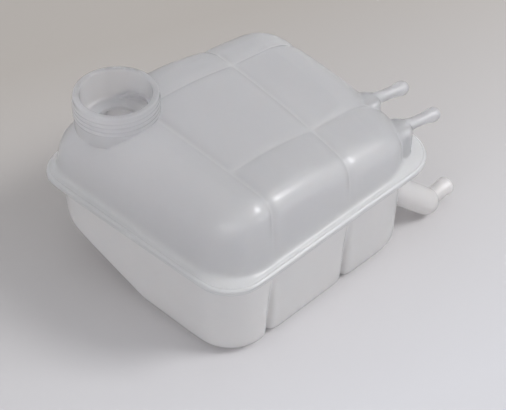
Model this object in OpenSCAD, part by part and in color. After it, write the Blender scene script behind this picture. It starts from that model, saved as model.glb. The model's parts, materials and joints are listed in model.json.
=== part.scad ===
/* [Flange] */
// Length of the welded flange along the front
flange_l = 219; // [205:1:240]
// Depth of the welded flange along the left side
flange_d = 207; // [195:1:225]
// Thickness of each half of the flange
flange_t = 2.8; // [2:0.1:4]
// Width of the flange ledge outside the walls
ledge = 5.6; // [4:0.1:8]
// Set-back of the walls on the right, behind the hose bosses
side_step = 12; // [6:0.5:14]
// How far the back edge closes in towards the right
back_slant = 0.2; // [0:0.01:0.22]
// How far the front edge runs forward at its right end
front_toe = 4; // [0:0.5:6]

/* [Upper shell] */
// Height of the top above the weld, at the back
top_h = 58; // [50:1:66]
// How much the top falls towards the front right corner
top_fall = 23; // [8:1:26]
// How much the top falls towards the right, at the back
side_fall = 5; // [0:0.5:8]
// Crown of the middle chambers
crown_h = 2.5; // [0:0.5:4]
// How much the back left corner is rounded off
corner_fall = 20; // [8:1:24]
// Wall thickness of both shells
wall = 2.6; // [2:0.1:3.2]

/* [Chambers] */
// Distance of the left lengthwise baffle from the left edge
baffle_a = 47; // [44:1:54]
// Distance of the right lengthwise baffle from the right edge
baffle_b = 96; // [85:1:107]
// Distance of the front crosswise baffle from the front edge
baffle_d = 50; // [46:1:58]
// Distance of the back crosswise baffle from the back edge
baffle_c = 63; // [59:1:77]
// Sideways fan of the lengthwise baffles at the back
baffle_fan = 19; // [0:1:22]
// Thickness of a baffle
baffle_t = 2; // [1.6:0.1:2.6]
// Half width of the groove over a baffle
groove_w = 8; // [5:0.5:8]
// Depth of the groove over a baffle
groove_h = 2.6; // [1:0.1:3.5]
// Height of the flow gap in a baffle, each side of the weld
flow_gap = 9; // [6:1:12]

/* [Lower shell] */
// Depth of the lower shell below the weld
depth = 71; // [55:1:75]
// Depth of the upright grooves between the lower chambers
notch_h = 6; // [2:0.5:7]
// Distance from the front edge at which the left chamber's floor starts to rise
ramp_at = 96; // [85:1:110]
// Rise of that floor towards the back
ramp_h = 34; // [20:1:36]

/* [Filler neck] */
// Outer diameter of the neck
neck_d = 59; // [52:0.5:60]
// Inner diameter of the neck
neck_bore_d = 50; // [44:0.5:51]
// Diameter of the fill hole in the neck's floor
fill_hole_d = 30; // [24:0.5:36]
// Height of the rim above the weld
neck_top = 72.5; // [70:0.5:80]
// Depth of the neck's floor below the rim
neck_floor = 24; // [20:0.5:28]
// Distance of the neck from the left edge
neck_x = 41; // [38:0.5:46]
// Distance of the neck from the back edge
neck_y = 59; // [55:0.5:67]

/* [Hose connections] */
// Outer diameter of the small hose spigots
spigot_d = 8.4; // [7.4:0.1:9.9]
// Bore of the small hose spigots
spigot_bore_d = 4.5; // [3:0.1:5.5]
// Reach of the small hose spigots from the middle of their bosses
spigot_l = 39.5; // [32:0.5:44]
// Turn of the small spigots towards the front, in degrees
spigot_turn = 8; // [0:0.5:12]
// Drop of the small spigots, in degrees
spigot_drop = 5; // [0:0.5:10]
// Radius of the upright bosses that carry them
boss_r = 11; // [9:0.5:11.5]
// Distance of the bosses from the right edge
boss_in = 28; // [26:0.5:31]
// Distance of the front boss from the front edge
boss_y = 21.5; // [20:0.5:24]
// Distance between the bosses
boss_gap = 28.5; // [26:0.5:30]
// Height of the front boss above the weld
boss_h = 29.5; // [27:0.5:33]
// Extra height of the back boss
boss_rise = 9.5; // [2:0.5:11]
// Outer diameter of the lower outlet's spigot
outlet_d = 13; // [11:0.5:15]
// Bore of the lower outlet
outlet_bore_d = 8.5; // [6:0.5:9.5]
// Reach of the lower outlet beyond the flange
outlet_reach = 31; // [28:0.5:37]
// Height of the lower outlet's spigot above the floor
outlet_h = 13; // [12:0.5:20]
// Distance of the lower outlet from the front edge
outlet_y = 13; // [11:0.5:16]
// Radius of the sloping leg between the lower outlet and its wall
leg_r = 10.5; // [9:0.5:11.5]
// Slope of that leg, in degrees
leg_slope = 40; // [35:1:45]
// Height of the hose beads on the small spigots
bead_h = 1.2; // [0.6:0.1:1.5]

/* [Hidden] */

// Steps round each rounded plan corner, from its middle to a side
cn = 3;
// Places of the right and back baffles, from the left and front edges
x_b = flange_l - baffle_b;
y_c = flange_d - baffle_c;
// Distances of the top's last corner centres from the right and back edges
cap_in = [62, 49];
// Places of the top's corner centres, on the first and last grid lines
x_first = baffle_a - groove_w;
x_last = flange_l - cap_in[0];
y_first = baffle_d - groove_w;
y_last = flange_d - cap_in[1];

function lerp(a, b, f) = a + (b - a) * f;
function between(a, b, n) = [for (k = [1:n]) lerp(a, b, k / (n + 1))];
function groove_lines(at, w) = [for (f = [-1, -0.55, -0.25, 0, 0.25, 0.55, 1]) at + f * w];

// Places of the grid lines across each shell, and from front to back
upper_x = concat(groove_lines(baffle_a, groove_w),
    between(baffle_a + groove_w, x_b - groove_w, 3),
    groove_lines(x_b, groove_w),
    between(x_b + groove_w, x_last, 2), [x_last]);
upper_y = concat(groove_lines(baffle_d, groove_w),
    between(baffle_d + groove_w, y_c - groove_w, 4),
    groove_lines(y_c, groove_w), [y_last]);
lower_y = concat([y_first], between(y_first, ramp_at - 5, 1), [ramp_at - 5, ramp_at, ramp_at + 5],
    between(ramp_at + 5, y_last, 1), [y_last]);

// Grid size, counted in steps
function steps(lines) = len(lines) - 1 + 2 * cn;
// Place of line k along one direction, between the ring's two sides
function line_at(k, lines, lo, hi) =
    let (n = steps(lines))
    k <= cn ? lerp(lo, lines[0], k / cn)
    : k >= n - cn ? lerp(lines[len(lines) - 1], hi, (k - n + cn) / cn)
    : lines[k - cn];
// Point on a corner's arc: centre, the two sides it joins, and the angle
function arc(c, ex, ey, t) = [c[0] + (ex - c[0]) * cos(t), c[1] + (ey - c[1]) * sin(t)];
// Plan point of grid node (i, j); s holds the left, front, right and back sides,
// c the four corner centres: front left, front right, back right, back left
function plan(i, j, xs, ys, s, c) =
    let (nx = steps(xs), ny = steps(ys),
        a = min(i, nx - i), b = min(j, ny - j),
        right = i > nx / 2, back = j > ny / 2,
        ex = right ? s[2] : s[0], ey = back ? s[3] : s[1],
        cc = back ? (right ? c[2] : c[3]) : (right ? c[1] : c[0]),
        x = line_at(i, xs, s[0], s[2]), y = line_at(j, ys, s[1], s[3]))
    a > cn || b > cn ? [x, y]
    : b == 0 ? arc(cc, ex, ey, 45 + 45 * a / cn)
    : a == 0 ? arc(cc, ex, ey, 45 - 45 * b / cn)
    : coons(a / cn, b / cn, cc, ex, ey, x, y);
// Inner points of a corner block, blended from its four edges
function coons(u, v, c, ex, ey, x, y) =
    (1 - v) * arc(c, ex, ey, 45 + 45 * u) + v * [x, c[1]]
    + (1 - u) * arc(c, ex, ey, 45 - 45 * v) + u * [c[0], y]
    - (1 - u) * (1 - v) * arc(c, ex, ey, 45) - u * (1 - v) * [c[0], ey]
    - (1 - u) * v * [ex, c[1]] - u * v * c;
// Grid node of the b-th point round a ring
function round_ij(b, nx, ny) =
    b < nx ? [b, 0] : b < nx + ny ? [nx, b - nx]
    : b < 2 * nx + ny ? [2 * nx + ny - b, ny] : [0, 2 * (nx + ny) - b];

// Plan shape of the tank: the baffles fan out, the back edge slants and the front edge toes out
function warp(p) =
    let (v = p[1] / flange_d, x = p[0] + baffle_fan * sin(180 * p[0] / flange_l) * v, u = x / flange_l)
    [x, p[1] * (1 - back_slant * u * v) - front_toe * u * u * (1 - v), p[2]];

// Groove profile: 1 on the baffle's line, 0 at the groove's edge
function dip(d, w) = pow(max(0, 1 - abs(d) / w), 2);
function top_dip(x, y) =
    let (a = dip(x - baffle_a, groove_w), b = dip(x - x_b, groove_w),
        cross = x < baffle_a ? 0 : 1,
        c = cross * dip(y - y_c, groove_w), d = cross * dip(y - baffle_d, groove_w))
    groove_h * (1 - (1 - a) * (1 - b) * (1 - c) * (1 - d));
// Distance over which the top falls to the front right, and how far the back left corner's fall reaches
fall_l = 180;
corner_l = 90;
function top_z(x, y) =
    let (fall = pow(sin(90 * min(1, x / fall_l)), 2) * pow(max(0, 1 - y / fall_l), 2.7),
        crown = x > baffle_a && x < x_b ? sin(180 * (x - baffle_a) / (x_b - baffle_a)) : 0)
    top_h - top_fall * fall - side_fall * x / flange_l + crown_h * crown
    - corner_fall * pow(max(0, 1 - norm([x, y - flange_d]) / corner_l), 1.5);
// Depth of the floor below the weld: the left chamber's floor rises towards the back
function floor_z(x, y) =
    let (side = min(1, max(0, 1 - (x - baffle_a) / (groove_w * 0.55))))
    depth - ramp_h * side * max(0, y - ramp_at) / (flange_d - ramp_at);
function floor_dip(x, y) =
    let (a = dip(x - baffle_a, groove_w * 0.8), b = dip(x - x_b, groove_w * 0.8))
    notch_h * (1 - (1 - a) * (1 - b));

// Sides of a ring at an inset from the flange's edge: left, front, right, back
function sides(inset) = [inset, inset, flange_l - inset, flange_d - inset];
function wall_sides(inset) = sides(inset) - [0, 0, side_step, 0];
// Corner centres: front left, front right, back right, back left
flange_c = [[28, 28], [flange_l - 35, 35], [flange_l - 36, flange_d - 36], [39, flange_d - 34]];
cap_c = [[x_first, y_first], [x_last, y_first], [x_last, y_last], [x_first, y_last]];
upper_c = [[38, 38], [flange_l - 56, 40], [flange_l - 58, y_last], [32, flange_d - 36]];
lower_c = [[x_first, 38], [flange_l - 55, 43], [flange_l - 58, y_last], [x_first, flange_d - 44]];

// A shell's form: corner centres at the wall, reach of the shoulder inwards and along the wall
// at the left, front, right and back, height and groove functions, and the grid lines
upper_form = [upper_c, [24, 12, 38, 36], [30, 13, 27, 36],
    function (x, y) top_z(x, y), function (x, y) top_dip(x, y), upper_x, upper_y, 1];
lower_form = [lower_c, [11, 11, 11, 11], [11, 11, 11, 11],
    function (x, y) floor_z(x, y), function (x, y) floor_dip(x, y), upper_x, lower_y, -1];

// Sides of the shoulder at angle phi, 0 on the wall and 90 on the cap
function shoulder_sides(f, phi, off) =
    let (base = ledge + 2 + off, k = 1 - cos(phi), r = f[1])
    [base + r[0] * k, base + r[1] * k, flange_l - base - side_step - r[2] * k, flange_d - base - r[3] * k];
// Value for a ring point from the values of the two sides it lies between
function mixed(v, i, j, nx, ny) =
    let (a = min(i, nx - i), b = min(j, ny - j),
        t = b == 0 ? min(90, 45 + 45 * a / cn) : max(0, 45 - 45 * b / cn))
    lerp(v[i > nx / 2 ? 2 : 0], v[j > ny / 2 ? 3 : 1], pow(sin(t), 2));
// One point of a shoulder, off below the outer skin
function shoulder_pt(f, i, j, phi, off) =
    let (xs = f[5], ys = f[6], nx = steps(xs), ny = steps(ys),
        c = lerp(f[0], cap_c, 1 - cos(phi)),
        p = plan(i, j, xs, ys, shoulder_sides(f, phi, off), c),
        z = f[3](p[0], p[1]) - off - mixed(f[2], i, j, nx, ny) * (1 - sin(phi)),
        g = f[4](p[0], p[1]), in = g * cos(phi) * 1.3,
        dx = i == 0 ? in : i == nx ? -in : 0, dy = j == 0 ? in : j == ny ? -in : 0)
    warp([p[0] + dx, p[1] + dy, f[7] * (z - g * sin(phi))]);
function ring(f, phi, off) =
    let (nx = steps(f[5]), ny = steps(f[6]))
    [for (b = [0:2 * (nx + ny) - 1])
        let (q = round_ij(b, nx, ny)) shoulder_pt(f, q[0], q[1], phi, off)];
// Ring at given sides and a fixed height
function flat_ring(f, s, z, c) =
    let (nx = steps(f[5]), ny = steps(f[6]))
    [for (b = [0:2 * (nx + ny) - 1])
        let (q = round_ij(b, nx, ny), p = plan(q[0], q[1], f[5], f[6], s, c))
        warp([p[0], p[1], f[7] * z])];
// Inner nodes of the cap
function grid(f, off) =
    let (nx = steps(f[5]), ny = steps(f[6]), s = shoulder_sides(f, 90, off))
    [for (j = [1:ny - 1], i = [1:nx - 1])
        let (p = plan(i, j, f[5], f[6], s, cap_c))
        warp([p[0], p[1], f[7] * (f[3](p[0], p[1]) - off - f[4](p[0], p[1]))])];

// Faces between two rings of n points that start at a and b
function band(a, b, n) = [for (k = [0:n - 1]) let (m = (k + 1) % n)
    each [[a + k, a + m, b + m], [a + k, b + m, b + k]]];
// Faces of a grid cap whose rim is the ring at r and whose inner nodes start at g
function cap(r, g, nx, ny) =
    [for (j = [0:ny - 1], i = [0:nx - 1])
        let (p = cap_at(i, j, r, g, nx, ny), q = cap_at(i + 1, j, r, g, nx, ny),
            s = cap_at(i + 1, j + 1, r, g, nx, ny), t = cap_at(i, j + 1, r, g, nx, ny))
        each [[p, q, s], [p, s, t]]];
function cap_at(i, j, r, g, nx, ny) =
    j == 0 ? r + i : i == nx ? r + nx + j
    : j == ny ? r + 2 * nx + ny - i : i == 0 ? r + 2 * (nx + ny) - j
    : g + (j - 1) * (nx - 1) + i - 1;
function flip(faces) = [for (f = faces) [f[2], f[1], f[0]]];

// A shell from its flange rings, shoulder and cap, outside and inside
module skin(f, outer_phi, inner_phi) {
    t = flange_t;
    nx = steps(f[5]);
    ny = steps(f[6]);
    n = 2 * (nx + ny);
    edge = [[0, 0], [0, t * 0.55], [t * 0.3, t * 0.9], [ledge * 0.5, t], [ledge - 0.6, t * 1.1]];
    outer = concat([for (q = edge) flat_ring(f, sides(q[0]), q[1], flange_c)],
        [flat_ring(f, wall_sides(ledge + 0.8), t + 1.6, f[0])],
        [flat_ring(f, wall_sides(ledge + 1.4), t + 5, f[0])],
        [for (phi = outer_phi) ring(f, phi, 0)]);
    inner = concat([flat_ring(f, wall_sides(ledge + 1 + wall), 0, f[0])],
        [for (phi = inner_phi) ring(f, phi, wall)]);
    no = len(outer);
    ni = len(inner);
    g0 = n * no;
    i0 = g0 + (nx - 1) * (ny - 1);
    h0 = i0 + n * ni;
    faces = concat(
        [for (k = [0:no - 2]) each band(k * n, (k + 1) * n, n)],
        cap((no - 1) * n, g0, nx, ny),
        flip([for (k = [0:ni - 2]) each band(i0 + k * n, i0 + (k + 1) * n, n)]),
        flip(cap(i0 + (ni - 1) * n, h0, nx, ny)),
        flip(band(0, i0, n)));
    pts = concat([for (r = outer) each r], grid(f, 0), [for (r = inner) each r], grid(f, wall));
    polyhedron(pts, f[7] > 0 ? flip(faces) : faces, convexity = 10);
}

// Half way through the wall at a place on a line of the cap
function web_z(f, x, y) = f[3](x, y) - wall / 2 - f[4](x, y);
// Plan place and height of one shoulder point over the end of a baffle
function web_end(f, lengthwise, at, side, phi) =
    let (e = shoulder_sides(f, phi, wall / 2)[side],
        p = lengthwise ? [at, e] : [e, at], in = f[4](p[0], p[1]) * cos(phi) * 1.3,
        q = lengthwise ? [at, side == 1 ? e + in : e - in] : [e - in, at])
    [q[0], q[1], web_z(f, p[0], p[1]) + f[4](p[0], p[1]) * (1 - sin(phi)) - f[2][side] * (1 - sin(phi))];
// Points over a baffle: its line across the cap, and down the wall at its ends
function web_points(f, lengthwise, at) =
    let (lines = lengthwise ? f[6] : f[5], phis = [90, 60, 30, 0],
        w = wall_sides(ledge + 1 + wall / 2), last = lengthwise ? 3 : 2,
        mid = [for (v = lines) if (lengthwise || v > baffle_a + 1)
            let (x = lengthwise ? at : v, y = lengthwise ? v : at) [x, y, web_z(f, x, y)]],
        first = lengthwise ? concat([[at, w[1], 0]], [for (k = [3:-1:0]) web_end(f, true, at, 1, phis[k])])
            : [[baffle_a, at, 0], [baffle_a, at, web_z(f, baffle_a, at)]])
    [for (p = concat(first, mid, [for (phi = phis) web_end(f, lengthwise, at, last, phi)],
        [lengthwise ? [at, w[3], 0] : [w[2], at, 0]])) warp(p)];
// One baffle: an upright plate under its groove, with a round flow gap in each chamber
module baffle(f, lengthwise, at, gaps) {
    pts = web_points(f, lengthwise, at);
    a = pts[0];
    b = pts[len(pts) - 1];
    run = norm([b[0] - a[0], b[1] - a[1]]);
    dir = [b[0] - a[0], b[1] - a[1]] / run;
    turn = atan2(dir[1], dir[0]);
    translate([a[0], a[1], 0]) rotate([90, 0, turn])
        linear_extrude(baffle_t, center = true) difference() {
            polygon([for (p = pts) [(p[0] - a[0]) * dir[0] + (p[1] - a[1]) * dir[1], f[7] * p[2]]]);
            for (g = gaps) translate([g * run, 0]) circle(flow_gap, $fn = 48);
        }
}
module long_baffles(f) {
    for (x = [baffle_a, x_b]) baffle(f, true, x, [0.13, 0.45, 0.82]);
}
module cross_baffles(f) {
    for (y = [baffle_d, y_c]) baffle(f, false, y, [0.25, 0.74]);
}

// The filler neck: a tube with a floor ring inside and a low foot ring outside
module at_neck() {
    translate([neck_x, flange_d - neck_y, 0]) children();
}
module neck_body() {
    r = neck_d / 2;
    floor_z = neck_top - neck_floor;
    at_neck() rotate_extrude($fn = 96)
        polygon([[0, floor_z - wall], [r + 1, floor_z - wall], [r + 1, top_h + 1],
            [r, top_h + 2], [r, neck_top - 1], [r - 1, neck_top], [0, neck_top]]);
}
module neck_bore() {
    at_neck() translate([0, 0, neck_top - neck_floor]) cylinder(d = neck_bore_d, h = neck_floor + 1, $fn = 96);
    at_neck() cylinder(d = fill_hole_d, h = neck_top, $fn = 96);
}

// Places of the hose bosses and the heights of their tops, front boss first
bosses = [[flange_l - boss_in, boss_y, boss_h], [flange_l - boss_in - 2, boss_y + boss_gap, boss_h + boss_rise]];
// A round upright boss with a domed top; cut is how far inside the skin it lies
module boss(b, cut) {
    r = boss_r - cut;
    edge = 5;
    top = b[2] - cut;
    foot = cut > 0 ? 2 * flange_t : flange_t / 2;
    translate([b[0], b[1], 0]) rotate_extrude($fn = 64) {
        translate([0, foot]) square([r, top - edge - foot]);
        translate([0, foot]) square([r - edge, top - foot]);
        intersection() {
            translate([r - edge, top - edge]) circle(edge, $fn = 48);
            translate([0, foot]) square([r, top - foot]);
        }
    }
}
// Frame of a small spigot, with +Z along its bore
module at_spigot(b) {
    translate([b[0], b[1], b[2] - spigot_d / 2 - 1]) rotate([0, 90 + spigot_drop, -spigot_turn]) children();
}
module spigot(b) {
    r = spigot_d / 2;
    crest = r + bead_h;
    at_spigot(b) rotate_extrude($fn = 48)
        polygon([[0, 0], [r + 1.5, 0], [r + 1.5, boss_r], [r, boss_r + 4], [r, spigot_l - 14],
            [crest - 0.3, spigot_l - 9.5], [crest, spigot_l - 8], [crest, spigot_l - 4],
            [crest - 0.4, spigot_l - 2], [r, spigot_l - 0.5], [r - 0.6, spigot_l], [0, spigot_l]]);
}

// Depths that the flange's edge reaches, and the place of the whole tank: its base centre at the origin
edge_y = [for (p = flat_ring(upper_form, sides(0), 0, flange_c)) p[1]];
middle = [(flange_l + outlet_reach) / 2, (min(edge_y) + max(edge_y)) / 2];
module placed() {
    translate([-middle[0], -middle[1], depth]) children();
}

module upper_shell() {
    color("whitesmoke") placed() difference() {
        union() {
            skin(upper_form, [0, 20, 40, 65, 90], [0, 30, 60, 90]);
            long_baffles(upper_form);
            cross_baffles(upper_form);
            neck_body();
            for (b = bosses) {
                boss(b, 0);
                spigot(b);
            }
        }
        neck_bore();
        for (b = bosses) {
            boss(b, wall);
            at_spigot(b) cylinder(d = spigot_bore_d, h = spigot_l + 1, $fn = 48);
        }
    }
}

// The lower outlet: a hollow sloping leg with a domed foot, and a level spigot out of the foot
outlet_l = 27;
outlet_foot = [flange_l + outlet_reach - outlet_l, outlet_y, outlet_h - depth];
// Length of the leg from its foot into the wall, and its turn towards the back, in degrees
leg_l = 52;
leg_turn = 14;
module at_foot(tilt) {
    translate(outlet_foot) rotate(tilt) children();
}
module outlet_body() {
    r = outlet_d / 2;
    crest = r + bead_h / 2;
    at_foot([0, 90 - leg_slope, 180 - leg_turn]) cylinder(h = leg_l, r1 = leg_r - 0.4, r2 = leg_r + 0.5, $fn = 64);
    at_foot([0, 0, 0]) sphere(leg_r, $fn = 64);
    at_foot([0, 90, 0]) rotate_extrude($fn = 64)
        polygon([[0, 0], [r, 0], [r, outlet_l - 5.5], [crest, outlet_l - 4], [crest, outlet_l - 2],
            [r - 0.4, outlet_l], [0, outlet_l]]);
}
module outlet_bore() {
    at_foot([0, 90 - leg_slope, 180 - leg_turn]) cylinder(h = leg_l + 8, r = leg_r - wall - 0.3, $fn = 64);
    at_foot([0, 0, 0]) sphere(leg_r - wall, $fn = 64);
    at_foot([0, 90, 0]) cylinder(h = outlet_l + 1, d = outlet_bore_d, $fn = 64);
}

module lower_shell() {
    color("gainsboro") placed() difference() {
        union() {
            skin(lower_form, [0, 22, 45, 68, 90], [0, 45, 90]);
            long_baffles(lower_form);
            outlet_body();
        }
        outlet_bore();
    }
}

upper_shell();
lower_shell();
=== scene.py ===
"""Dresses the coolant expansion tank: two translucent polypropylene mouldings on a pale floor."""

import json
import math

import bpy
from bpy.props import FloatProperty, FloatVectorProperty, IntProperty, PointerProperty
from mathutils import Matrix, Vector
from mathutils.bvhtree import BVHTree
from mathutils.kdtree import KDTree


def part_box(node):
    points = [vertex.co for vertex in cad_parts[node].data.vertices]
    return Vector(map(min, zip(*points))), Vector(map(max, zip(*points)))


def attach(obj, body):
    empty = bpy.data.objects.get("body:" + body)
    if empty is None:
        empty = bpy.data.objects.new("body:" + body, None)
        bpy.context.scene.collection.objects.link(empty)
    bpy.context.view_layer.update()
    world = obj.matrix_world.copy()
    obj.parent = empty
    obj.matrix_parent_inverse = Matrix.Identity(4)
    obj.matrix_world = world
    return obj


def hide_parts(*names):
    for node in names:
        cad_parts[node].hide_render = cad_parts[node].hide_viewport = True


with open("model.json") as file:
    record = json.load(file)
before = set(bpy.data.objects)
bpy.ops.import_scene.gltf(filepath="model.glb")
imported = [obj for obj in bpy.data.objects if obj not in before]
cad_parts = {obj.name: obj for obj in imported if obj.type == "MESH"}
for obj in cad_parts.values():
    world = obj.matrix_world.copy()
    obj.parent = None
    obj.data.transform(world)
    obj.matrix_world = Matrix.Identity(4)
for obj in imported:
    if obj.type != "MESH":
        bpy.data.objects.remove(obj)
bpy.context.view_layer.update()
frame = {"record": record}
MM = 0.001

bl_info = {
    "name": "Coolant expansion tank",
    "version": (1, 0, 0),
    "blender": (4, 5, 0),
    "location": "View3D > Sidebar > Tank",
    "description": "Models and finishes a welded coolant expansion tank",
    "category": "Object",
}

MOUNTS = {m["name"]: m for m in frame["record"]["mounts"]}


def mount_place(name):
    """Where an interface of the tank sits, in millimetres in the row frame."""
    return Vector(MOUNTS[name]["pos_m"]) / MM


def linear(hex_colour):
    """An sRGB hex colour as the linear colour that shaders take."""
    values = [int(hex_colour[k:k + 2], 16) / 255 for k in (1, 3, 5)]
    return [v / 12.92 if v <= 0.04045 else ((v + 0.055) / 1.055) ** 2.4 for v in values] + [1.0]


UPPER_LOW, UPPER_HIGH = (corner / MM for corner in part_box("upper_shell"))
LOWER_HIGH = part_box("lower_shell")[1] / MM
# The tank is laid out from the virtual front left corner of its flange, at the weld: this is the
# neck's place in that layout, and ORIGIN is the layout's corner in the row frame
NECK_AT = Vector((41, 148, 0))
ORIGIN = mount_place("filler_neck") - NECK_AT
ORIGIN.z = UPPER_LOW.z


class TankBodySizes(bpy.types.PropertyGroup):
    """Sizes of the two half shells, in millimetres."""

    length: FloatProperty(name="Length", description="Length of the flange", default=219.0)
    depth: FloatProperty(name="Depth", description="Depth of the flange on its left side", default=207.0)
    wall: FloatProperty(name="Wall", description="Wall thickness", default=2.6)
    ledge: FloatProperty(name="Ledge", description="Width of the flange outside the walls", default=5.6)
    flange: FloatProperty(name="Flange", description="Half of the flange's thickness", default=2.8)
    side_step: FloatProperty(name="Side step", description="Extra setback of the right wall", default=12.0)
    slant: FloatProperty(name="Slant", description="Share of the depth lost at the right", default=0.2,
                         subtype="FACTOR")
    fan: FloatProperty(name="Fan", description="Spread of the baffles towards the back", default=19.0)
    toe: FloatProperty(name="Toe", description="How far the front edge toes out at the right", default=4.0)
    top: FloatProperty(name="Top", description="Height of the top above the weld", default=58.0)
    floor: FloatProperty(name="Floor", description="Depth of the floor below the weld", default=71.0)
    groove_width: FloatProperty(name="Groove width", description="Half width of a groove", default=8.0)
    groove_depth: FloatProperty(name="Groove depth", description="Depth of a groove", default=2.0)
    smoothing: IntProperty(name="Smoothing", description="Subdivision levels", default=2, min=0, max=3)


class TankFittingSizes(bpy.types.PropertyGroup):
    """Sizes of the neck, the bosses and the hose spigots, in millimetres."""

    neck_d: FloatProperty(name="Neck", description="Outer diameter of the neck", default=59.0)
    neck_bore: FloatProperty(name="Neck bore", description="Inner diameter of the neck", default=50.0)
    fill_hole: FloatProperty(name="Fill hole", description="Hole in the neck's floor", default=30.0)
    neck_floor: FloatProperty(name="Neck floor", description="Depth of the neck's floor", default=24.0)
    thread_pitch: FloatProperty(name="Thread pitch", description="Pitch of the cap's thread", default=3.5)
    thread_relief: FloatProperty(name="Thread relief", description="Height of the thread", default=0.6)
    thread_turns: FloatProperty(name="Thread turns", description="Turns of the cap's thread", default=4.2)
    boss_r: FloatProperty(name="Boss radius", description="Radius of a hose boss", default=11.0)
    spigot_d: FloatProperty(name="Spigot", description="Outer diameter of a bleed spigot", default=8.4)
    spigot_bore: FloatProperty(name="Spigot bore", description="Bore of a bleed spigot", default=4.5)
    spigot_l: FloatProperty(name="Spigot length", description="Reach from the boss's axis", default=39.5)
    bead: FloatProperty(name="Bead", description="Height of the hose bead on a bleed spigot", default=1.2)
    outlet_d: FloatProperty(name="Outlet", description="Outer diameter of the lower outlet", default=13.0)
    outlet_bore: FloatProperty(name="Outlet bore", description="Bore of the lower outlet", default=8.5)
    outlet_l: FloatProperty(name="Outlet length", description="Length of the outlet's spigot", default=27.0)
    leg_r: FloatProperty(name="Leg radius", description="Radius of the outlet's sloping leg", default=10.5)
    leg_l: FloatProperty(name="Leg length", description="Length of the outlet's sloping leg", default=52.0)
    leg_slope: FloatProperty(name="Leg slope", description="Slope of the outlet's leg",
                             default=math.radians(40), subtype="ANGLE")
    leg_turn: FloatProperty(name="Leg turn", description="Turn of the outlet's leg towards the back",
                            default=math.radians(14), subtype="ANGLE")


class TankFinishes(bpy.types.PropertyGroup):
    """Colours of the mouldings, the floor and the light around them."""

    upper: FloatVectorProperty(name="Upper moulding", description="Natural polypropylene",
                               size=4, subtype="COLOR", default=linear("#F4F4F6"))
    # Painted light: the lower moulding is the same plastic, coloured paler than the upper one to paint in the
    # floor's light that comes through it
    lower: FloatVectorProperty(name="Lower moulding", description="The same plastic, paler over the floor",
                               size=4, subtype="COLOR", default=linear("#FFFCFB"))
    # Partly painted light: the pale colour stands for the denser plastic where a baffle or the rim backs the
    # wall, and is also painted light that lifts the shade of the grooves and of the wall's foot
    pale: FloatVectorProperty(name="Pale moulding", description="The plastic that a baffle or the rim backs",
                              size=4, subtype="COLOR", default=linear("#FFFFFF"))
    # Painted light: the floor's two colours paint the key light falling off, lighter and cooler near it,
    # darker and warmer away from it
    floor: FloatVectorProperty(name="Floor", description="Studio paper near the light",
                               size=4, subtype="COLOR", default=linear("#C2C2C6"))
    floor_painted_shade: FloatVectorProperty(name="Warm floor", description="Studio paper away from the light",
                                    size=4, subtype="COLOR", default=linear("#A7A29D"))
    room: FloatVectorProperty(name="Room", description="Light of the room around the tank",
                              size=4, subtype="COLOR", default=linear("#F4F4F6"))


def body():
    return bpy.context.scene.tank_body


def fittings():
    return bpy.context.scene.tank_fittings


def finishes():
    return bpy.context.scene.tank_finishes


# Steps round each rounded plan corner, from its middle to a side
CORNER_STEPS = 3
# Places of the four baffles: two lengthwise from the left edge, two crosswise from the front edge
BAFFLE_A, BAFFLE_B, BAFFLE_D, BAFFLE_C = 47.0, 123.0, 50.0, 144.0
# How far in from the right and back edges the last corner centres of the top and floor lie
CAP_RIGHT, CAP_BACK = 62, 49
# How far the walls lean in on their way to the shoulder
WALL_LEAN = 2
# Radius of the edge between the walls and the floor
FLOOR_EDGE = 11
# Start of the rising floor of the left chamber, how far it rises, and the rounding at its start
RAMP_AT, RAMP_H, RAMP_ROUND = 96.0, 34.0, 5
# Share of a groove's half width over which the floor steps down beside that ramp
RAMP_STEP = 0.55
# Depth of the notches in the floor and lower walls, and their width as a share of a groove's
NOTCH_H, NOTCH_SHARE = 6.0, 0.8
# How much deeper a groove is in the wall than in the top
WALL_GROOVE = 1.3
# Falls of the top: to the front right, to the right side and to the far left corner; and its crown
TOP_FALL, SIDE_FALL, CORNER_FALL, CROWN = 23.0, 5.0, 20.0, 2.5
# How far the falls to the front right and to the far left corner reach, and how fast they fade
FALL_REACH, FALL_FADE = 180, 2.7
CORNER_REACH, CORNER_FADE = 90, 1.5
# Place of the fine line that the mould leaves round the ledge, its half width and its depth
MOULD_LINE, MOULD_LINE_WIDTH, MOULD_LINE_DEPTH = 2.6, 0.7, 0.5
# How far below the neck's rim the thread starts
THREAD_BELOW = 3.2
# How far the middle of a bleed spigot's bead, where its mount is, lies behind the tip
BEAD_BACK = 6
# How much paler the plastic is painted on a baffle's line than in between, where the solid rim is 1: partly
# the denser plastic over the baffle, partly painted light that lifts the groove's shade
LINE_PALENESS = 0.4
# Share of a groove's depth at which the pale line starts
LINE_FROM = 0.6
# Below 0 is clearer than the wall, as the neck and spigots are with nothing behind them
FITTING_PALENESS = -0.5
# How near a point lies to the first shell where it belongs to that, in millimetres
SAME_SKIN = 1.5
# Share of the light that comes through the plain wall of each moulding, and through its solid rim
UPPER_CLEAR, LOWER_CLEAR, RIM_CLEAR = 0.72, 0.56, 0.45
# Edges up to this angle are shaded smooth, in degrees
SMOOTH_BELOW = 50


def lerp(a, b, f):
    return a + (b - a) * f


def between(a, b, count):
    """Evenly spaced values strictly between a and b."""
    return [lerp(a, b, k / (count + 1)) for k in range(1, count + 1)]


def groove_lines(at):
    """Grid lines that draw one groove."""
    return [at + share * body().groove_width for share in (-1, -RAMP_STEP, -0.25, 0, 0.25, RAMP_STEP, 1)]


def dip(distance, width):
    """Groove profile: 1 on the baffle's line, 0 at the groove's edge."""
    return max(0.0, 1 - abs(distance) / width) ** 2


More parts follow.
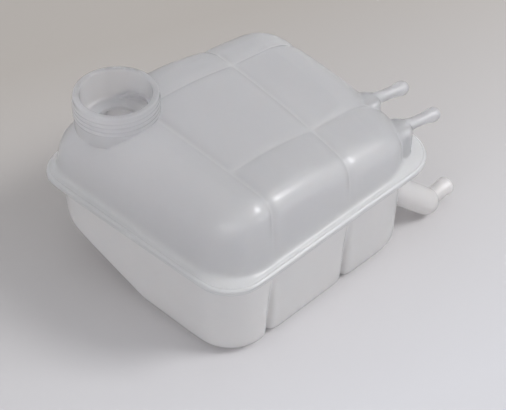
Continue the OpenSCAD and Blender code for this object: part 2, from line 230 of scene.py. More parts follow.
def top_groove(x, y):
    """Depth of the grooves in the top: the crosswise ones end at the left lengthwise one."""
    width = body().groove_width
    cross = 0 if x < BAFFLE_A else 1
    left = 1.0
    for depth in (dip(x - BAFFLE_A, width), dip(x - BAFFLE_B, width),
                  cross * dip(y - BAFFLE_C, width), cross * dip(y - BAFFLE_D, width)):
        left *= 1 - depth
    return body().groove_depth * (1 - left)


def top_height(x, y):
    """Height of the top above the weld: it falls to the right, most of all at the front corner."""
    sizes = body()
    fall = math.sin(math.radians(90 * min(1, x / FALL_REACH))) ** 2 * max(0, 1 - y / FALL_REACH) ** FALL_FADE
    crown = math.sin(math.pi * (x - BAFFLE_A) / (BAFFLE_B - BAFFLE_A)) if BAFFLE_A < x < BAFFLE_B else 0
    far = max(0, 1 - math.hypot(x, y - sizes.depth) / CORNER_REACH) ** CORNER_FADE
    return sizes.top - TOP_FALL * fall - SIDE_FALL * x / sizes.length + CROWN * crown - CORNER_FALL * far


def floor_depth(x, y):
    """Depth of the floor below the weld: the left chamber's floor rises towards the back."""
    sizes = body()
    side = min(1, max(0, 1 - (x - BAFFLE_A) / (sizes.groove_width * RAMP_STEP)))
    return sizes.floor - RAMP_H * side * max(0, y - RAMP_AT) / (sizes.depth - RAMP_AT)


def floor_groove(x, y):
    """Depth of the notches in the floor, under the two lengthwise baffles."""
    width = body().groove_width * NOTCH_SHARE
    return NOTCH_H * (1 - (1 - dip(x - BAFFLE_A, width)) * (1 - dip(x - BAFFLE_B, width)))


def warp(x, y):
    """Plan shape of the tank: the baffles fan out, the back edge slants, the front edge toes out."""
    sizes = body()
    v = y / sizes.depth
    across = x + sizes.fan * math.sin(math.pi * x / sizes.length) * v
    u = across / sizes.length
    return across, y * (1 - sizes.slant * u * v) - sizes.toe * u * u * (1 - v)


def place(x, y, z):
    """A layout point in the row frame, in metres."""
    across, along = warp(x, y)
    return (Vector((across, along, z)) + ORIGIN) * MM


def arc(centre, edge_x, edge_y, angle):
    """Point on a plan corner between its two sides."""
    c, s = math.cos(math.radians(angle)), math.sin(math.radians(angle))
    return centre[0] + (edge_x - centre[0]) * c, centre[1] + (edge_y - centre[1]) * s


class ShellForm:
    """The form of one half shell, as places on a grid that wraps its top or floor.

    Corner centres are given front left, front right, back right, back left. The shoulder leans in by
    reach and comes down by drop at the left, front, right and back. height and groove are functions of
    a plan point, and up is 1 for the upper shell and -1 for the lower one."""

    def __init__(self, lines_x, lines_y, wall_corners, reach, drop, height, groove, up):
        self.lines_x, self.lines_y = lines_x, lines_y
        self.wall_corners, self.reach, self.drop = wall_corners, reach, drop
        self.height, self.groove, self.up = height, groove, up
        self.across = len(lines_x) - 1 + 2 * CORNER_STEPS
        self.along = len(lines_y) - 1 + 2 * CORNER_STEPS
        first_x, first_y = BAFFLE_A - body().groove_width, BAFFLE_D - body().groove_width
        last_x, last_y = body().length - CAP_RIGHT, body().depth - CAP_BACK
        self.cap_corners = [(first_x, first_y), (last_x, first_y), (last_x, last_y), (first_x, last_y)]

    def line(self, k, lines, low, high, steps):
        """Place of grid line k of steps, between the sides low and high."""
        if k <= CORNER_STEPS:
            return lerp(low, lines[0], k / CORNER_STEPS)
        if k >= steps - CORNER_STEPS:
            return lerp(lines[-1], high, (k - steps + CORNER_STEPS) / CORNER_STEPS)
        return lines[k - CORNER_STEPS]

    def plan(self, i, j, sides, corners):
        """Plan point of grid node (i, j) between the left, front, right and back sides."""
        a, b = min(i, self.across - i), min(j, self.along - j)
        right, back = i > self.across / 2, j > self.along / 2
        edge_x, edge_y = sides[2] if right else sides[0], sides[3] if back else sides[1]
        centre = corners[(2 if right else 3) if back else (1 if right else 0)]
        x = self.line(i, self.lines_x, sides[0], sides[2], self.across)
        y = self.line(j, self.lines_y, sides[1], sides[3], self.along)
        if a > CORNER_STEPS or b > CORNER_STEPS:
            return x, y
        u, v = a / CORNER_STEPS, b / CORNER_STEPS
        on_front = arc(centre, edge_x, edge_y, 45 + 45 * u)
        on_side = arc(centre, edge_x, edge_y, 45 - 45 * v)
        if b == 0:
            return on_front
        if a == 0:
            return on_side
        # Inside a corner, the point is blended from the corner block's four edges
        middle = arc(centre, edge_x, edge_y, 45)
        blend = [
            (1 - v) * on_front[k] + v * (x, centre[1])[k] + (1 - u) * on_side[k] + u * (centre[0], y)[k]
            - (1 - u) * (1 - v) * middle[k] - u * (1 - v) * (centre[0], edge_y)[k]
            - (1 - u) * v * (edge_x, centre[1])[k] - u * v * centre[k]
            for k in (0, 1)]
        return tuple(blend)

    def shoulder_sides(self, phi, inset):
        """The four sides of the shoulder, phi degrees up from the wall."""
        base = body().ledge + WALL_LEAN + inset
        pull = 1 - math.cos(math.radians(phi))
        left, front, right, back = (base + r * pull for r in self.reach)
        return left, front, body().length - right - body().side_step, body().depth - back

    def drop_at(self, i, j):
        """Drop of the shoulder, mixed from the two sides that a ring point lies between."""
        a, b = min(i, self.across - i), min(j, self.along - j)
        angle = min(90, 45 + 45 * a / CORNER_STEPS) if b == 0 else max(0, 45 - 45 * b / CORNER_STEPS)
        share = math.sin(math.radians(angle)) ** 2
        side = self.drop[2 if i > self.across / 2 else 0]
        end = self.drop[3 if j > self.along / 2 else 1]
        return lerp(side, end, share)

    def shoulder(self, i, j, phi, inset):
        """A point of the shoulder, phi degrees up from the wall, inset below the outer skin."""
        pull, lift = 1 - math.cos(math.radians(phi)), math.sin(math.radians(phi))
        corners = [(lerp(w[0], c[0], pull), lerp(w[1], c[1], pull))
                   for w, c in zip(self.wall_corners, self.cap_corners)]
        x, y = self.plan(i, j, self.shoulder_sides(phi, inset), corners)
        depth = self.groove(x, y)
        z = self.height(x, y) - inset - self.drop_at(i, j) * (1 - lift) - depth * lift
        inward = depth * (1 - pull) * WALL_GROOVE
        x += inward if i == 0 else -inward if i == self.across else 0
        y += inward if j == 0 else -inward if j == self.along else 0
        return place(x, y, self.up * z)

    def cap(self, i, j, inset):
        """A point of the top or floor, inset below the outer skin."""
        x, y = self.plan(i, j, self.shoulder_sides(90, inset), self.cap_corners)
        return place(x, y, self.up * (self.height(x, y) - inset - self.groove(x, y)))

    def level(self, i, j, sides, corners, z):
        """A point of a level ring, such as the flange's edge."""
        x, y = self.plan(i, j, sides, corners)
        return place(x, y, self.up * z)

    def paleness(self, i, j):
        """How much paler a baffle makes a grid node, part denser plastic and part painted light:
        LINE_PALENESS on its line, 0 away from it.
        """
        x, y = self.plan(i, j, self.shoulder_sides(90, 0), self.cap_corners)
        share = self.groove(x, y) / self.groove(BAFFLE_A, 0)
        return LINE_PALENESS * max(0.0, share - LINE_FROM) / (1 - LINE_FROM)


def lines_across():
    """Grid lines from left to right, which both shells share so that they meet at the weld."""
    width, last = body().groove_width, body().length - CAP_RIGHT
    return (groove_lines(BAFFLE_A) + between(BAFFLE_A + width, BAFFLE_B - width, 3)
            + groove_lines(BAFFLE_B) + between(BAFFLE_B + width, last, 2) + [last])


def upper_form():
    """The upper shell: grooved both ways, with a wide shoulder at the left and the back."""
    length, depth, width = body().length, body().depth, body().groove_width
    lines_y = (groove_lines(BAFFLE_D) + between(BAFFLE_D + width, BAFFLE_C - width, 4)
               + groove_lines(BAFFLE_C) + [depth - CAP_BACK])
    corners = [(38, 38), (length - 56, 40), (length - 58, depth - CAP_BACK), (32, depth - 36)]
    return ShellForm(lines_across(), lines_y, corners, reach=(24, 12, 38, 36), drop=(30, 13, 27, 36),
                     height=top_height, groove=top_groove, up=1)


def lower_form():
    """The lower shell: upright walls, notched under the lengthwise baffles, with a rounded edge."""
    length, depth = body().length, body().depth
    first_x, first_y = BAFFLE_A - body().groove_width, BAFFLE_D - body().groove_width
    last_y = depth - CAP_BACK
    ramp = [RAMP_AT - RAMP_ROUND, RAMP_AT, RAMP_AT + RAMP_ROUND]
    lines_y = ([first_y] + between(first_y, ramp[0], 1) + ramp + between(ramp[-1], last_y, 1) + [last_y])
    corners = [(first_x, 38), (length - 55, 43), (length - 58, last_y), (first_x, depth - 44)]
    return ShellForm(lines_across(), lines_y, corners, reach=(FLOOR_EDGE,) * 4, drop=(FLOOR_EDGE,) * 4,
                     height=floor_depth, groove=floor_groove, up=-1)


def flange_sides(inset, step=0.0):
    """The four sides of a level ring; step is the extra setback of its right side."""
    return inset, inset, body().length - inset - step, body().depth - inset


def flange_corners():
    """Centres of the flange's rounded corners, front left first."""
    length, depth = body().length, body().depth
    return [(28, 28), (length - 35, 35), (length - 36, depth - 36), (39, depth - 34)]


def edge_ring(form, inset, z):
    """Places the points of a level ring on the flange, inset from its edge."""
    sides, corners = flange_sides(inset), flange_corners()
    return lambda i, j: form.level(i, j, sides, corners, z)


def wall_ring(form, inset, z):
    """Places the points of a level ring on the wall, inset from the flange's edge."""
    sides = flange_sides(inset, body().side_step)
    return lambda i, j: form.level(i, j, sides, form.wall_corners, z)


def shoulder_ring(form, phi, inset):
    """Places the points of a ring on the shoulder, phi degrees up from the wall."""
    return lambda i, j: form.shoulder(i, j, phi, inset)


def outer_rings(form, angles, mould_line):
    """Rings of a shell's outside, from the shoulder over the wall and flange to the weld.

    Each ring is its place, how much of a baffle's paleness is left, and how pale the rim is there: partly its
    solid plastic, partly painted light."""
    t, ledge = body().flange, body().ledge
    fade = between(1, 0, len(angles) + 2)
    rings = [(shoulder_ring(form, phi, 0), left, 0) for phi, left in zip(angles, fade)]
    # The foot of the wall curves out to the ledge, painted paler there: painted light over the shade of that
    # crease
    rings.append((wall_ring(form, ledge + 1.4, t + 5), fade[-2], 0.1))
    rings.append((wall_ring(form, ledge + 0.7, t + 1.9), fade[-1], 0.7))
    # The ledge and the flange's rounded edge, as insets and heights
    edge = [(ledge - 0.6, t * 1.1), (ledge * 0.6, t)]
    if mould_line:
        edge += [(MOULD_LINE + MOULD_LINE_WIDTH, t), (MOULD_LINE, t - MOULD_LINE_DEPTH),
                 (MOULD_LINE - MOULD_LINE_WIDTH, t)]
    edge += [(t * 0.35, t * 0.9), (t * 0.08, t * 0.6), (0, t * 0.25), (0, 0.12), (0, 0)]
    # The ledge and the flange are painted palest, partly for the solid rim and partly as painted light
    return rings + [(edge_ring(form, inset, z), 0, 1) for inset, z in edge]


def inner_rings(form, angles):
    """Rings of a shell's inside, from the weld up to the rim of its inner cap."""
    wall, t = body().wall, body().flange
    inset = body().ledge + 1 + wall
    # Close rings hold the corner where the inside meets the weld
    up_wall = [(inset - 2, 0), (inset - 0.3, 0), (inset, 0.4), (inset, t + 1), (inset, t + 7)]
    return ([(wall_ring(form, at, z), 0, 0) for at, z in up_wall]
            + [(shoulder_ring(form, phi, wall), 0, 0) for phi in angles])


def deselect():
    bpy.ops.object.select_all(action="DESELECT")


def only(obj):
    """Makes obj the one selected and active object."""
    deselect()
    obj.select_set(True)
    bpy.context.view_layer.objects.active = obj
    return obj


def in_edit(obj, *steps, select_all=True):
    """Runs edit-mode steps on obj, with everything in its mesh selected first unless told otherwise."""
    only(obj)
    bpy.ops.object.mode_set(mode="EDIT")
    if select_all:
        bpy.ops.mesh.select_all(action="SELECT")
    for step in steps:
        step()
    bpy.ops.object.mode_set(mode="OBJECT")


def select_edges(obj, wanted):
    """Selects the edges that wanted(edge) picks, and nothing else."""
    mesh = obj.data
    for item in list(mesh.polygons) + list(mesh.vertices):
        item.select = False
    for edge in mesh.edges:
        edge.select = wanted(edge)
        for v in edge.vertices:
            if edge.select:
                mesh.vertices[v].select = True


def boundary_keys(mesh):
    """Vertex pairs of the edges that only one face uses."""
    used = {}
    for face in mesh.polygons:
        for key in face.edge_keys:
            used[key] = used.get(key, 0) + 1
    return {key for key, count in used.items() if count == 1}


def key_of(co):
    """A place as a key, to a ten-thousandth of a millimetre."""
    return tuple(round(c, 7) for c in co)


def half_skin(name, form, inset, rings):
    """One side of a shell: a grid for the top or floor, its rim extruded ring by ring."""
    deselect()
    bpy.ops.mesh.primitive_grid_add(x_subdivisions=form.across, y_subdivisions=form.along, size=2)
    skin = bpy.context.object
    skin.name = name
    pale = skin.data.attributes.new("paleness", "FLOAT", "POINT")
    rim = {}
    for v in skin.data.vertices:
        i, j = round((v.co.x + 1) / 2 * form.across), round((v.co.y + 1) / 2 * form.along)
        pale.data[v.index].value = form.paleness(i, j)
        v.co = form.cap(i, j, inset)
        if i in (0, form.across) or j in (0, form.along):
            rim[key_of(v.co)] = (i, j)
    for ring, line_left, rim_dense_and_painted_light in rings:
        edges = boundary_keys(skin.data)
        select_edges(skin, lambda edge: tuple(sorted(edge.vertices)) in edges)
        in_edit(skin, lambda: bpy.ops.mesh.extrude_edges_move(), select_all=False)
        pale = skin.data.attributes["paleness"]
        placed = {}
        for v in skin.data.vertices:
            if v.select:
                node_at = rim[key_of(v.co)]
                # Paleness painted here: denser plastic over a baffle or the rim, and painted light on the
                # lines, the wall's foot and the flange
                pale.data[v.index].value = max(rim_dense_and_painted_light, line_left * form.paleness(*node_at))
                v.co = ring(*node_at)
                placed[key_of(v.co)] = node_at
        rim = placed
    return skin


def closed_shell(name, form, outer_angles, inner_angles, mould_line=False):
    """A half shell: its outside runs over the flange to the weld and on up the inside."""
    rings = outer_rings(form, outer_angles, mould_line) + inner_rings(form, inner_angles)
    shell = half_skin(name, form, 0, rings)
    inner_cap = half_skin(name + "_inner_cap", form, body().wall, [])
    only(shell)
    inner_cap.select_set(True)
    bpy.ops.object.join()
    in_edit(
        shell,
        lambda: bpy.ops.mesh.remove_doubles(threshold=0.00001),
        lambda: bpy.ops.mesh.normals_make_consistent(inside=False),
    )
    return apply_modifier(shell, "SUBSURF", levels=body().smoothing, render_levels=body().smoothing)


def apply_modifier(obj, kind, **settings):
    """Adds a modifier to obj with its settings, and applies it."""
    only(obj)
    modifier = obj.modifiers.new(kind.title(), kind)
    for name, value in settings.items():
        setattr(modifier, name, value)
    bpy.ops.object.modifier_apply(modifier=modifier.name)
    return obj


def turned(name, profile, at, steps=96, closed=False):
    """A body of revolution about the Z axis of at, from (radius, height) pairs in millimetres.

    A profile that isn't closed starts and ends on the axis."""
    deselect()
    bpy.ops.mesh.primitive_circle_add(vertices=len(profile), radius=1)
    piece = bpy.context.object
    piece.name = name
    for v, (r, z) in zip(piece.data.vertices, profile):
        v.co = (r, 0, z)
    if not closed:
        ends = {0, len(profile) - 1}
        select_edges(piece, lambda edge: set(edge.vertices) == ends)
        in_edit(piece, lambda: bpy.ops.mesh.delete(type="EDGE_FACE"), select_all=False)
    in_edit(
        piece,
        lambda: bpy.ops.mesh.spin(steps=steps, angle=math.tau, center=(0, 0, 0), axis=(0, 0, 1)),
        lambda: bpy.ops.mesh.select_all(action="SELECT"),
        lambda: bpy.ops.mesh.remove_doubles(threshold=0.001),
        lambda: bpy.ops.mesh.normals_make_consistent(inside=False),
    )
    piece.data.transform(Matrix.Scale(MM, 4) @ at)
    return piece


def dense(profile, step=2.2):
    """Adds points along the long straights of a profile, so that it shades and blends smoothly."""
    points = []
    for (r0, z0), (r1, z1) in zip(profile, profile[1:]):
        count = max(1, math.ceil(math.hypot(r1 - r0, z1 - z0) / step))
        points += [(lerp(r0, r1, k / count), lerp(z0, z1, k / count)) for k in range(count)]
    return points + [profile[-1]]


def domed(r, top, height, steps=9):
    """Profile of a full round dome, from its side at radius r up to its middle."""
    # Points lie closer together near the middle, and the power fills the dome out at its edge
    turns = [math.pi / 2 * (1 - (1 - k / steps) ** 1.6) for k in range(steps)]
    return [(r * math.cos(a) ** 0.6, top - height + height * math.sin(a)) for a in turns] + [(0, top)]


def rounded(centre, radius, start, end, steps=6):
    """Points of an arc in a profile, from the start angle to the end angle."""
    return [(centre[0] + radius * math.cos(math.radians(lerp(start, end, k / steps))),
             centre[1] + radius * math.sin(math.radians(lerp(start, end, k / steps))))
            for k in range(steps + 1)]


def combine(target, other, operation):
    """Adds other to target, or cuts it away, and removes it."""
    apply_modifier(target, "BOOLEAN", object=other, operation=operation, solver="EXACT")
    mesh = other.data
    bpy.data.objects.remove(other)
    bpy.data.meshes.remove(mesh)
    return target


def blended(target, other, reach):
    """Adds other to target and rounds the corner between them, over reach millimetres each way."""
    graph = bpy.context.evaluated_depsgraph_get()
    surfaces = [BVHTree.FromObject(piece, graph) for piece in (target, other)]
    combine(target, other, "UNION")
    in_edit(target, lambda: bpy.ops.mesh.remove_doubles(threshold=0.000002))
    joint = target.vertex_groups.new(name="joint")
    for v in target.data.vertices:
        away = max(surface.find_nearest(v.co)[3] for surface in surfaces) / MM
        if away < reach:
            joint.add([v.index], 1 - away / reach, "REPLACE")
    apply_modifier(target, "SMOOTH", vertex_group="joint", factor=0.5, iterations=10)
    target.vertex_groups.clear()
    return target


def paleness_map(shell):
    """The shell's paleness by place, to give back after its fittings are added."""
    tree = KDTree(len(shell.data.vertices))
    for v in shell.data.vertices:
        tree.insert(v.co, v.index)
    tree.balance()
    return tree, [item.value for item in shell.data.attributes["paleness"].data]


def restore_paleness(shell, tree, values):
    """Gives each point its paleness again, which unions and cuts don't carry; fittings have their own."""
    pale = shell.data.attributes["paleness"]
    for v in shell.data.vertices:
        _, index, distance = tree.find(v.co)
        pale.data[v.index].value = values[index] if distance < SAME_SKIN * MM else FITTING_PALENESS


def drop_doubled(piece):
    """Deletes faces that share all their corners, the folds that a union can leave."""
    by_corners = {}
    for face in piece.data.polygons:
        by_corners.setdefault(tuple(sorted(face.vertices)), []).append(face)
    doubled = {v for corners, faces in by_corners.items() if len(faces) > 1 for v in corners}
    select_edges(piece, lambda edge: set(edge.vertices) <= doubled)
    in_edit(
        piece,
        lambda: bpy.ops.mesh.delete(type="ONLY_FACE"),
        lambda: bpy.ops.mesh.select_all(action="SELECT"),
        lambda: bpy.ops.mesh.delete_loose(),
        select_all=False,
    )


def finished(piece, node_name, material):
    """Closes and shades a finished piece, gives it its material and ties it to the frame."""
    drop_doubled(piece)
    in_edit(piece, lambda: bpy.ops.mesh.fill_holes(sides=12))
    only(piece)
    bpy.ops.object.shade_smooth_by_angle(angle=math.radians(SMOOTH_BELOW))
    piece.data.materials.clear()
    piece.data.materials.append(material)
    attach(piece, "root")
    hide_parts(node_name)
    return piece


def node(tree, kind, links=None, **settings):
    """Adds a shader node; settings name its properties or inputs, links its linked inputs."""
    made = tree.nodes.new(kind)
    for name, value in settings.items():
        if hasattr(made, name):
            setattr(made, name, value)
        else:
            made.inputs[name.replace("_", " ")].default_value = value
    for name, socket in (links or {}).items():
        tree.links.new(socket, made.inputs[name])
    return made


def polypropylene(name, colour, clear):
    """Natural polypropylene, injection moulded.

    Milky and translucent: light comes through the walls and is scattered on its way, the surface keeps the
    satin of the mould, and the plastic is painted paler and denser where a baffle or the solid rim backs it,
    partly for the denser plastic and partly as painted light on the baffle lines and the rim.
    clear is the share of the light that comes through the plain wall."""
    material = bpy.data.materials.new(name)
    material.use_nodes = True
    tree = material.node_tree
    shader = tree.nodes["Principled BSDF"]
    coords = node(tree, "ShaderNodeTexCoord").outputs["Object"]
    # Flow marks of the melt, about 30 mm long, that cloud the colour a little
    cloud = node(tree, "ShaderNodeTexNoise", {"Vector": coords}, Scale=30.0, Detail=4.0, Roughness=0.55)
    # The pale colour mixed in by paleness is partly the denser plastic and partly painted light
    pale = node(tree, "ShaderNodeAttribute", attribute_name="paleness").outputs["Fac"]
    mix = node(tree, "ShaderNodeMix", {"Factor": pale}, data_type="RGBA")
    mix.inputs["A"].default_value = colour
    mix.inputs["B"].default_value = finishes().pale
    shade = node(tree, "ShaderNodeMapRange", {"Value": cloud.outputs["Fac"]}, To_Min=0.96, To_Max=1.02)
    tint = node(tree, "ShaderNodeHueSaturation", {"Color": mix.outputs["Result"],
                                                  "Value": shade.outputs["Result"]})
    tree.links.new(tint.outputs["Color"], shader.inputs["Base Color"])
    # Satin grain of the mould, 1 mm grit so that it shows at this size
    grain = node(tree, "ShaderNodeTexNoise", {"Vector": coords}, Scale=900.0, Detail=2.0)
    fine = node(tree, "ShaderNodeBump", {"Height": grain.outputs["Fac"]}, Strength=0.04, Distance=0.0004)
    # Soft waves of the shrunk walls, about 18 mm apart
    waves = node(tree, "ShaderNodeTexNoise", {"Vector": coords}, Scale=55.0, Detail=2.0)
    bump = node(tree, "ShaderNodeBump", {"Height": waves.outputs["Fac"], "Normal": fine.outputs["Normal"]},
                Strength=0.18, Distance=0.0008)
    tree.links.new(bump.outputs["Normal"], shader.inputs["Normal"])
    through = node(tree, "ShaderNodeMapRange", {"Value": pale}, clamp=False, To_Min=clear, To_Max=RIM_CLEAR)
    tree.links.new(through.outputs["Result"], shader.inputs["Transmission Weight"])
    shader.inputs["Roughness"].default_value = 0.6
    shader.inputs["IOR"].default_value = 1.49
    shader.inputs["Subsurface Weight"].default_value = 1.0
    shader.inputs["Subsurface Radius"].default_value = (1.0, 0.97, 0.94)
    shader.inputs["Subsurface Scale"].default_value = 0.02
    # The smooth skin that the melt forms against the mould
    shader.inputs["Coat Weight"].default_value = 0.6
    shader.inputs["Coat Roughness"].default_value = 0.25
    shader.inputs["Coat IOR"].default_value = 1.49
    return material


class TANK_OT_upper_moulding(bpy.types.Operator):
    """Models the upper moulding: grooved top, filler neck, hose bosses and spigots"""

    bl_idname = "tank.upper_moulding"
    bl_label = "Upper moulding"

    def execute(self, context):
        shell = closed_shell("upper_moulding", upper_form(), outer_angles=(65, 40, 20, 0),
                             inner_angles=(0, 30, 60, 90), mould_line=True)
        pale = paleness_map(shell)
        add_neck(shell)
        for name in ("front_bleed_spigot", "back_bleed_spigot"):
            add_bleed_spigot(shell, name)
        restore_paleness(shell, *pale)
        finished(shell, "upper_shell",
                 polypropylene("natural_polypropylene_upper", finishes().upper, UPPER_CLEAR))
        return {"FINISHED"}


def add_neck(shell):
    """The filler neck, its floor ring and its thread, blended into the top."""
    sizes = fittings()
    r, bore, hole = sizes.neck_d / 2, sizes.neck_bore / 2, sizes.fill_hole / 2
    outer_lip, inner_lip, corner, hole_edge = 1.3, 1.2, 3, 1
    rim = UPPER_HIGH.z
    floor = rim - sizes.neck_floor
    bottom, top = floor - body().wall, rim - outer_lip
    at = Matrix.Translation(Vector((NECK_AT.x + ORIGIN.x, NECK_AT.y + ORIGIN.y, 0)))
    # The side has rows close enough for the thread to be raised out of it
    rows = round((top - bottom) / (sizes.thread_pitch / 8))
    side = [(r, lerp(bottom, top, k / rows)) for k in range(rows)]
    mouth = (rounded((r - outer_lip, top), outer_lip, 0, 90)
             + rounded((bore + inner_lip, rim - inner_lip), inner_lip, 90, 180)
             + [(bore, floor + 5)] + rounded((bore - corner, floor + corner), corner, 0, -90)
             + [(hole + 3, floor)] + rounded((hole + hole_edge, floor - hole_edge), hole_edge, 90, 180)
             + [(hole, bottom), (r, bottom)])
    # The top is opened under the neck first
    low, high, open_r = floor - 12, rim + 5, bore - 2
    combine(shell, turned("neck_cut", [(0, low), (open_r, low), (open_r, high), (0, high)], at), "DIFFERENCE")
    neck = turned("neck", side + dense(mouth)[:-1], at, closed=True)
    raise_thread(neck, at.translation, r, rim)
    blended(shell, neck, 3)


def raise_thread(neck, at, r, rim):
    """Raises the cap's thread out of the neck's side: a point moves out by its place on the screw."""
    pitch, relief, turns = fittings().thread_pitch, fittings().thread_relief, fittings().thread_turns
    for v in neck.data.vertices:
        out = Vector((v.co.x - at.x * MM, v.co.y - at.y * MM, 0))
        below = (rim - THREAD_BELOW - v.co.z / MM) / pitch
        if out.length > (r - 0.01) * MM and 0 < below < turns:
            crest = 0.5 + 0.5 * math.cos(math.tau * below + math.atan2(out.y, out.x))
            fade = min(1.0, below * 2, (turns - below) * 2)
            v.co += out.normalized() * relief * fade * crest ** 1.5 * MM


def spigot_frame(name, back):
    """Frame with +Z along a spigot's bore, back millimetres behind the mount's place."""
    axis = Vector(MOUNTS[name]["axis"]).normalized()
    turn = axis.to_track_quat("Z", "Y").to_matrix().to_4x4()
    return Matrix.Translation(mount_place(name) - axis * back) @ turn


def add_bleed_spigot(shell, name):
    """One upright hollow boss with its spigot and their bore."""
    sizes = fittings()
    r, tube, length = sizes.boss_r, sizes.spigot_d / 2, sizes.spigot_l
    at = spigot_frame(name, length - BEAD_BACK)
    centre = at.translation
    upright = Matrix.Translation(Vector((centre.x, centre.y, 0)))
    top = centre.z + tube + 1
    foot = ORIGIN.z + body().flange * 0.5
    inner = r - body().wall
    profile = [(0, foot), (r + 0.6, foot), (r, foot + 6)] + domed(r, top, 6)
    hollow = [(0, foot - 12), (inner, foot - 12), (inner, top - 8), (inner - 2, top - 4), (0, top - 3)]
    crest = tube + sizes.bead
    # From the root in the boss along the tube, over the bead, to the rounded tip
    root = [(0, 0), (tube + 0.8, 0), (tube + 0.8, r - 1), (tube + 0.3, r + 2), (tube, r + 4)]
    bead = [(tube, length - 14), (tube + 0.1, length - 12.8), (crest - 0.6, length - 9.8),
            (crest - 0.1, length - 7.8), (crest, length - 6.5), (crest, length - 5),
            (crest - 0.15, length - 3.6), (crest - 0.6, length - 2)]
    tip = [(tube - 0.1, length - 0.8), (tube - 0.6, length - 0.2), (tube - 1.2, length), (0, length)]
    boss = turned("boss", dense(profile), upright, steps=64)
    blended(boss, turned("spigot", dense(root + bead + tip, 1.8), at, steps=48), 3)
    blended(shell, boss, 4)
    combine(shell, turned("boss_hollow", dense(hollow), upright, steps=64), "DIFFERENCE")
    combine(shell, drill(sizes.spigot_bore / 2, length, at), "DIFFERENCE")


def drill(r, length, at):
    """The cutter for a spigot's bore, a little wider at the mouth."""
    start, mouth_r, past = 2.3, r + 0.4, length + 1.7
    profile = [(0, start), (r, start), (r, length - 0.8), (mouth_r, length - 0.3), (mouth_r, past), (0, past)]
    return turned("drill", profile, at, steps=52)


class TANK_OT_lower_moulding(bpy.types.Operator):
    """Models the lower moulding: walls, floor and the bent outlet"""

    bl_idname = "tank.lower_moulding"
    bl_label = "Lower moulding"

    def execute(self, context):
        shell = closed_shell("lower_moulding", lower_form(), outer_angles=(68, 45, 22, 0),
                             inner_angles=(0, 45, 90))
        pale = paleness_map(shell)
        add_outlet(shell)
        restore_paleness(shell, *pale)
        # Its paler colour is painted light, for the floor's light that comes through the lower moulding
        finished(shell, "lower_shell",
                 polypropylene("natural_polypropylene_lower", finishes().lower, LOWER_CLEAR))
        return {"FINISHED"}


def add_outlet(shell):
    """The lower outlet: a sloping leg with a domed foot, and a level spigot out of the foot."""
    sizes = fittings()
    r, leg_r, length = sizes.outlet_d / 2, sizes.leg_r, sizes.outlet_l
    slope, turn = sizes.leg_slope, sizes.leg_turn
    mount = mount_place("lower_outlet")
    foot = Matrix.Translation(Vector((LOWER_HIGH.x - length, mount.y, mount.z)))
    level = foot @ Matrix.Rotation(math.radians(90), 4, "Y")
    up_leg = Vector((-math.cos(slope) * math.cos(turn), math.cos(slope) * math.sin(turn), math.sin(slope)))
    leaning = foot @ up_leg.to_track_quat("Z", "Y").to_matrix().to_4x4()
    outside = rounded((0, 0), leg_r, -90, 0, 10) + [(leg_r + 0.3, sizes.leg_l), (0, sizes.leg_l)]
    leg = turned("leg", dense(outside), leaning, steps=64)
    # From the foot along the tube, over a low bead, to the rounded tip
    tube = [(0, 0), (r + 0.4, 0), (r + 0.2, leg_r), (r, leg_r + 2), (r, length - 6), (r + 0.45, length - 4.5),
            (r + 0.6, length - 4), (r + 0.6, length - 2), (r + 0.3, length - 1), (r - 0.5, length - 0.2),
            (r - 1.2, length), (0, length)]
    blended(leg, turned("outlet", dense(tube), level, steps=64), 4)
    blended(shell, leg, 5)
    inner_r, past = leg_r - body().wall, sizes.leg_l + 8
    hollow = rounded((0, 0), inner_r, -90, 0, 10) + [(inner_r, past), (0, past)]
    combine(shell, turned("leg_hollow", dense(hollow), leaning, steps=64), "DIFFERENCE")
    combine(shell, drill(sizes.outlet_bore / 2, length, level), "DIFFERENCE")


def floor_paint():
    """Smooth matt studio paper with painted light: painted lighter and cooler near the key light, darker and
    warmer away from it.
    """
    material = bpy.data.materials.new("studio_paper")
    material.use_nodes = True
    tree = material.node_tree
    shader = tree.nodes["Principled BSDF"]
    coords = node(tree, "ShaderNodeTexCoord").outputs["Object"]
    # Painted light falloff: the paper is painted darker and warmer towards the back, over about half a metre
    slope = node(tree, "ShaderNodeMapping", {"Vector": coords}, vector_type="POINT")
    slope.inputs["Rotation"].default_value = (0, 0, math.radians(-70))
    ramp = node(tree, "ShaderNodeSeparateXYZ", {"Vector": slope.outputs["Vector"]})
    share = node(tree, "ShaderNodeMapRange", {"Value": ramp.outputs["X"]}, From_Min=-0.2, From_Max=0.26)
    mix = node(tree, "ShaderNodeMix", {"Factor": share.outputs["Result"]}, data_type="RGBA")
    mix.inputs["A"].default_value = finishes().floor
    mix.inputs["B"].default_value = finishes().floor_painted_shade
    tree.links.new(mix.outputs["Result"], shader.inputs["Base Color"])
    shader.inputs["Roughness"].default_value = 0.9
    return material


def softbox(name, location, target, size, power):
    """A square studio softbox aimed at a point, size in metres and power in watts."""
    light = bpy.data.lights.new(name, "AREA")
    light.shape = "SQUARE"
    light.size = size
    light.energy = power
    lamp = bpy.data.objects.new(name, light)
    lamp.location = location
    lamp.rotation_euler = (Vector(target) - Vector(location)).to_track_quat("-Z", "Y").to_euler()
    bpy.context.scene.collection.objects.link(lamp)
    return lamp


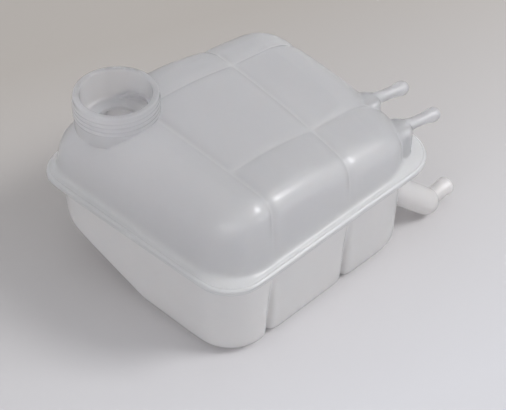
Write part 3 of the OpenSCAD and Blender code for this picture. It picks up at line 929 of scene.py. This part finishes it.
class TANK_OT_stage(bpy.types.Operator):
    """Lays the floor and sets up the lights and the camera"""

    bl_idname = "tank.stage"
    bl_label = "Stage"

    def execute(self, context):
        deselect()
        bpy.ops.mesh.primitive_plane_add(size=8, location=(0, 0, 0))
        floor = bpy.context.object
        floor.name = "studio_floor"
        floor.data.materials.append(floor_paint())
        centre = (0, 0, 0.07)
        softbox("key", (1.25, -1.55, 1.85), centre, size=0.9, power=47)
        softbox("left", (-1.5, -0.6, 0.35), centre, size=1.0, power=9)
        world = context.scene.world or bpy.data.worlds.new("studio")
        context.scene.world = world
        world.use_nodes = True
        background = world.node_tree.nodes["Background"]
        background.inputs["Color"].default_value = finishes().room
        background.inputs["Strength"].default_value = 0.8
        context.scene.view_settings.view_transform = "Standard"
        add_camera()
        return {"FINISHED"}


def add_camera():
    """The camera of the photograph: a long lens, from the front left and above."""
    camera = bpy.data.cameras.new("camera")
    camera.sensor_fit = "HORIZONTAL"
    camera.lens = 106.82
    camera.clip_end = 20
    holder = bpy.data.objects.new("camera", camera)
    stand = Vector((-486.57, -468.07, 688.18)) + ORIGIN
    heading, elevation, roll = math.radians(-47.2), math.radians(41.62), math.radians(0.92)
    holder.matrix_world = (
        Matrix.Translation(stand * MM) @ Matrix.Rotation(heading, 4, "Z")
        @ Matrix.Rotation(math.radians(90) - elevation, 4, "X") @ Matrix.Rotation(roll, 4, "Z"))
    bpy.context.scene.collection.objects.link(holder)
    bpy.context.scene.camera = holder


class TANK_PT_panel(bpy.types.Panel):
    """Lists the steps that make the tank"""

    bl_label = "Expansion tank"
    bl_idname = "TANK_PT_panel"
    bl_space_type = "VIEW_3D"
    bl_region_type = "UI"
    bl_category = "Tank"

    def draw(self, context):
        for operator in OPERATORS:
            self.layout.operator(operator.bl_idname)


OPERATORS = (TANK_OT_upper_moulding, TANK_OT_lower_moulding, TANK_OT_stage)
CLASSES = (TankBodySizes, TankFittingSizes, TankFinishes) + OPERATORS + (TANK_PT_panel,)


def register():
    for cls in CLASSES:
        bpy.utils.register_class(cls)
    bpy.types.Scene.tank_body = PointerProperty(type=TankBodySizes)
    bpy.types.Scene.tank_fittings = PointerProperty(type=TankFittingSizes)
    bpy.types.Scene.tank_finishes = PointerProperty(type=TankFinishes)


def unregister():
    del bpy.types.Scene.tank_body
    del bpy.types.Scene.tank_fittings
    del bpy.types.Scene.tank_finishes
    for cls in reversed(CLASSES):
        bpy.utils.unregister_class(cls)


def main():
    register()
    bpy.ops.tank.upper_moulding()
    bpy.ops.tank.lower_moulding()
    bpy.ops.tank.stage()


if __name__ == "__main__":
    main()
